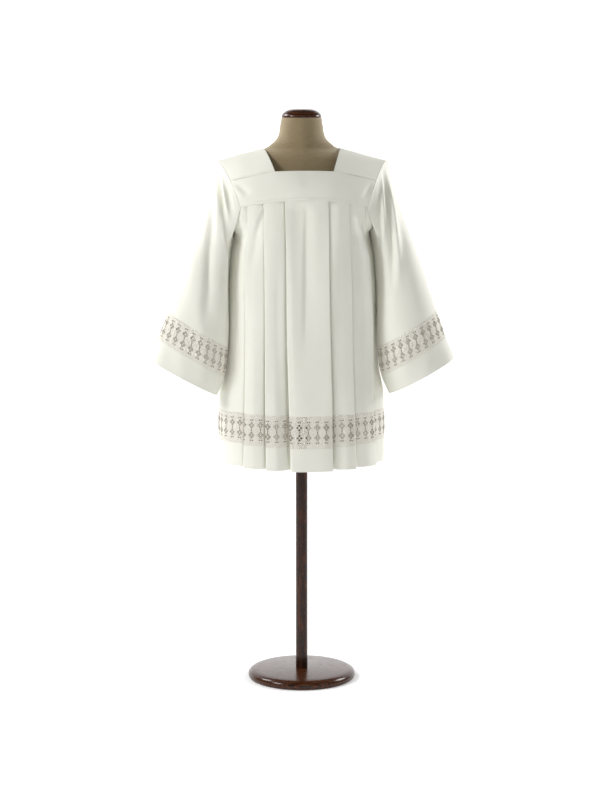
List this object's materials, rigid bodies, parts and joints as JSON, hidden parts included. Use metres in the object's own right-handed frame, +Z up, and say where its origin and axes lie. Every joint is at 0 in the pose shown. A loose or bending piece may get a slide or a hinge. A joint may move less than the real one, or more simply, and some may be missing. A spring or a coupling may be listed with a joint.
{
  "type": "surplice on dress form",
  "caption": "Pleated white surplice with a square yoke, bell sleeves and lace insertions, worn by a limbless dress form on a pole with a round wooden base.",
  "frame": {"origin": "on the floor, under the middle of the stand and of the whole part", "axes": "+Z up along the pole, front of the garment towards -Y, the garment's right sleeve, on the viewer's left, towards -X"},
  "size_m": [0.86, 0.3518, 1.631],
  "materials": {
    "ivory_cloth": "smooth ivory-white polyester, soft sheen",
    "cream_lace": "cream cotton insertion lace, matt",
    "beige_linen": "beige linen over a hard form, matt",
    "red_brown_wood": "dark red-brown lacquer, glossy"
  },
  "bodies": {
    "root": {"yoke_front": "ivory_cloth", "yoke_back": "ivory_cloth", "shoulder_left": "ivory_cloth", "shoulder_right": "ivory_cloth", "front_body": "ivory_cloth", "back_body": "ivory_cloth", "front_hem": "ivory_cloth", "back_hem": "ivory_cloth", "sleeve_left": "ivory_cloth", "sleeve_right": "ivory_cloth", "cuff_left": "ivory_cloth", "cuff_right": "ivory_cloth", "front_lace": "cream_lace", "back_lace": "cream_lace", "sleeve_lace_left_front": "cream_lace", "sleeve_lace_left_back": "cream_lace", "sleeve_lace_right_front": "cream_lace", "sleeve_lace_right_back": "cream_lace", "dress_form": "beige_linen", "neck_cap": "red_brown_wood", "stand_pole": "red_brown_wood", "stand_base": "red_brown_wood"}
  },
  "joints": []
}
